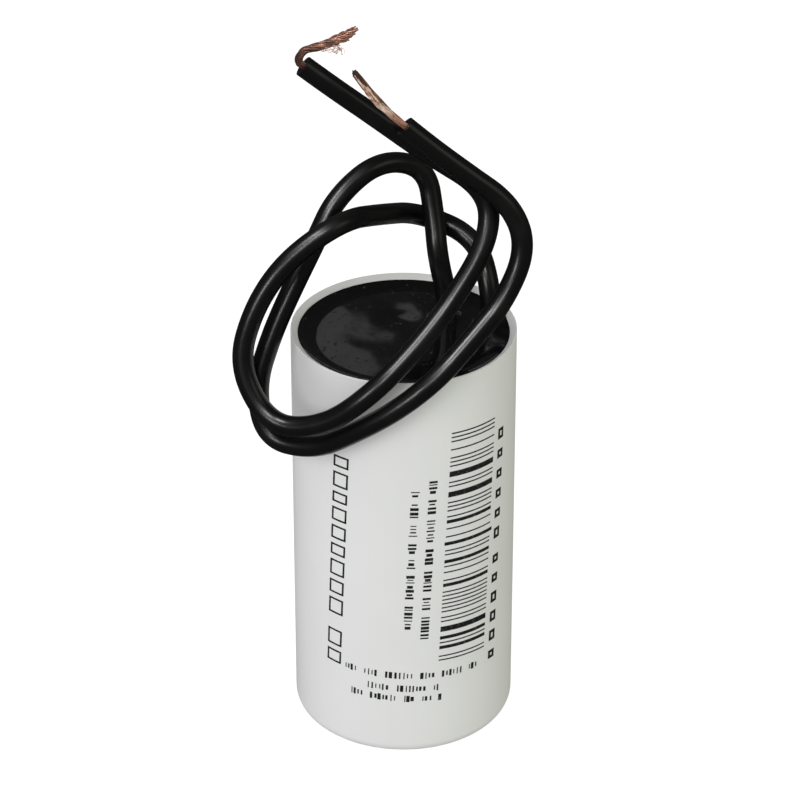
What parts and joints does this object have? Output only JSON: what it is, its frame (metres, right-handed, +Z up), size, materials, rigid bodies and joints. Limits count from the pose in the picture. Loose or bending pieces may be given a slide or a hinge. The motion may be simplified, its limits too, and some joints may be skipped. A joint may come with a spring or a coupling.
{
  "type": "motor run capacitor",
  "caption": "Round plastic-cased film capacitor for running a single-phase motor, potted in black resin, with long insulated leads that end in bare copper.",
  "frame": {"origin": "centre of the case's base, on the surface that it stands on", "axes": "+Z up along the case's axis towards the open, potted end; -Y faces the viewer of the picture; +X to the viewer's right"},
  "size_m": [0.0363, 0.0322, 0.0975],
  "materials": {
    "case_plastic": "satin moulded, off-white",
    "print_ink": "thin printed ink",
    "potting_resin": "glossy black cast resin",
    "metallised_film": "metallised film, wound",
    "wrap_film": "plain film wrap",
    "core_plastic": "moulded tube",
    "sprayed_metal": "rough sprayed zinc",
    "solder": "bright solder",
    "lead_insulation": "glossy black soft plastic",
    "bare_copper": "fine twisted copper strands"
  },
  "bodies": {
    "root": {"case": "case_plastic", "potting_resin": "potting_resin", "film_winding": "metallised_film", "winding_wrap": "wrap_film", "winding_core": "core_plastic", "bottom_end_spray": "sprayed_metal", "top_end_spray": "sprayed_metal", "bottom_solder_joint": "solder", "top_solder_joint": "solder", "lead_a_insulation": "lead_insulation", "lead_a_conductor": "bare_copper", "lead_b_insulation": "lead_insulation", "lead_b_conductor": "bare_copper"}
  },
  "joints": []
}
